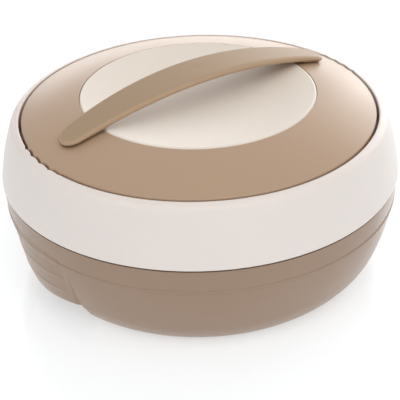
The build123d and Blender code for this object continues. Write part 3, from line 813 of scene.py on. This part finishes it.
def mix_shaders(tree, share, first, second):
    """First and second shader, with this share of the second."""
    mixed = add_node(tree, "ShaderNodeMixShader")
    if isinstance(share, float):
        mixed.inputs["Fac"].default_value = share
    else:
        tree.links.new(share, mixed.inputs["Fac"])
    tree.links.new(first.outputs[0], mixed.inputs[1])
    tree.links.new(second.outputs[0], mixed.inputs[2])
    return mixed


def build_floor_paint():
    paint = bpy.data.materials.new("floor_paint")
    paint.use_nodes = True
    tree = paint.node_tree
    cloth = tree.nodes["Principled BSDF"]
    cloth.inputs["Base Color"].default_value = floor_white
    cloth.inputs["Roughness"].default_value = 1.0
    cloth.inputs["Specular IOR Level"].default_value = 0.0
    cloth.inputs["Emission Color"].default_value = (1, 1, 1, 1)
    cloth.inputs["Emission Strength"].default_value = floor_glow
    matt = add_node(tree, "ShaderNodeBsdfDiffuse")
    matt.inputs["Color"].default_value = floor_white
    glow = add_node(tree, "ShaderNodeEmission")
    glow.inputs["Strength"].default_value = floor_shine
    mirror = add_node(tree, "ShaderNodeBsdfGlossy")
    mirror.inputs["Roughness"].default_value = mirror_roughness
    seen = mix_shaders(tree, shadow_share, glow, matt)
    polished = mix_shaders(tree, mirror_share, seen, mirror)
    choice = mix_shaders(tree, seen_directly(tree), cloth, polished)
    out = tree.nodes["Material Output"]
    tree.links.new(choice.outputs[0], out.inputs["Surface"])
    return paint


floor_data.materials.append(build_floor_paint())
print("floor mirrors", mirror_share, "of what stands on it")

# %% Surround
horizon_light = 0.44
zenith_light = 0.62


def build_surround():
    """A tent that is brighter overhead than at the horizon, and white where it is seen."""
    world = bpy.data.worlds.new("white_surround")
    bpy.context.scene.world = world
    world.use_nodes = True
    tree = world.node_tree
    back = tree.nodes["Background"]
    back.inputs["Color"].default_value = (1, 1, 1, 1)
    direction = add_node(tree, "ShaderNodeTexCoord")
    height = add_node(tree, "ShaderNodeSeparateXYZ")
    tree.links.new(direction.outputs["Generated"], height.inputs[0])
    up = math_node(tree, "MAXIMUM", height.outputs["Z"], 0.0)
    tent = math_node(tree, "MULTIPLY_ADD", up, zenith_light - horizon_light, horizon_light)
    seen = seen_directly(tree)
    unseen = math_node(tree, "SUBTRACT", 1.0, seen)
    light = math_node(tree, "ADD", math_node(tree, "MULTIPLY", tent, unseen), seen)
    tree.links.new(light, back.inputs["Strength"])


build_surround()
print("tent light from", horizon_light, "to", zenith_light)

# %% [markdown]
# ## The camera
#
# The camera looks down at about a third of a right angle, with a long lens, so the
# round rims show as calm ellipses. Its place is given as a distance, a height angle
# and a turn about the upright axis.

# %% Camera
camera_distance = 0.8339
camera_height_angle = radians(33.53)
camera_turn = radians(-124.5)
camera_roll = radians(1.78)
aim_height = 0.0340
aim_left = 0.0009
lens_px = 1161.0
picture_px = 400.0
sensor_mm = 36.0
toward_camera = Vector((cos(camera_turn), sin(camera_turn), 0))
right_of_camera = Vector((-sin(camera_turn), cos(camera_turn), 0))


def camera_matrix():
    height = camera_distance * sin(camera_height_angle) + mm
    place = toward_camera * camera_distance * cos(camera_height_angle) + Vector((0, 0, height))
    target = Vector((0, 0, aim_height)) - aim_left * right_of_camera
    forward = (target - place).normalized()
    right = forward.cross(Vector((0, 0, 1))).normalized()
    up = right.cross(forward)
    turn = Matrix.Rotation(camera_roll, 3, forward)
    right, up = turn @ right, turn @ up
    matrix = Matrix((right, up, -forward)).transposed().to_4x4()
    matrix.translation = place
    return matrix


camera_data = bpy.data.cameras.new("studio_camera")
camera_data.sensor_width = sensor_mm
camera_data.lens = lens_px / picture_px * sensor_mm
camera_data.clip_start = 0.01
studio_camera = bpy.data.objects.new("studio_camera", camera_data)
studio_camera.matrix_world = camera_matrix()
bpy.context.scene.collection.objects.link(studio_camera)
bpy.context.scene.camera = studio_camera
print("lens", round(camera_data.lens, 1), "mm")

# %% [markdown]
# ## The lamps
#
# Three flat lamps add shape to the tent's even light. A broad key lamp hangs above
# and in front of the object. A bright sheet stands low behind it and shows
# only where a surface is seen at a flat angle, as a sheen along the far rim. A smaller
# sheet behind and to the right draws the soft sheen on the lid's right side.


# %% Lamps in place
def soft_lamp(name, place, wide, high, brightness):
    """A flat lamp aimed at the object; its face looks brightness times white."""
    data = bpy.data.lights.new(name, "AREA")
    data.shape = "RECTANGLE"
    data.size = wide
    data.size_y = high
    data.energy = brightness * pi * wide * high
    lamp = bpy.data.objects.new(name, data)
    lamp.location = place
    lamp.rotation_euler = (lamp_target - place).to_track_quat("-Z", "Y").to_euler()
    bpy.context.scene.collection.objects.link(lamp)


def studio_place(toward, right, up):
    """A place in metres: towards the camera, to its right, and up."""
    return toward_camera * toward + right_of_camera * right + Vector((0, 0, up))


lamp_target = Vector((0, 0, 0.08))
soft_lamp("key_lamp", studio_place(0.75, 0.1, 1.3), wide=2.8, high=0.9, brightness=1.55)
soft_lamp("bright_sheet", studio_place(-1.5, 0.3, 0.22), wide=2.2, high=0.5, brightness=2.4)
soft_lamp("side_sheet", studio_place(-1.15, 0.95, 0.6), wide=1.0, high=0.8, brightness=2.6)
bpy.context.scene.view_settings.view_transform = "Standard"
print("lamps", len(bpy.data.lights))
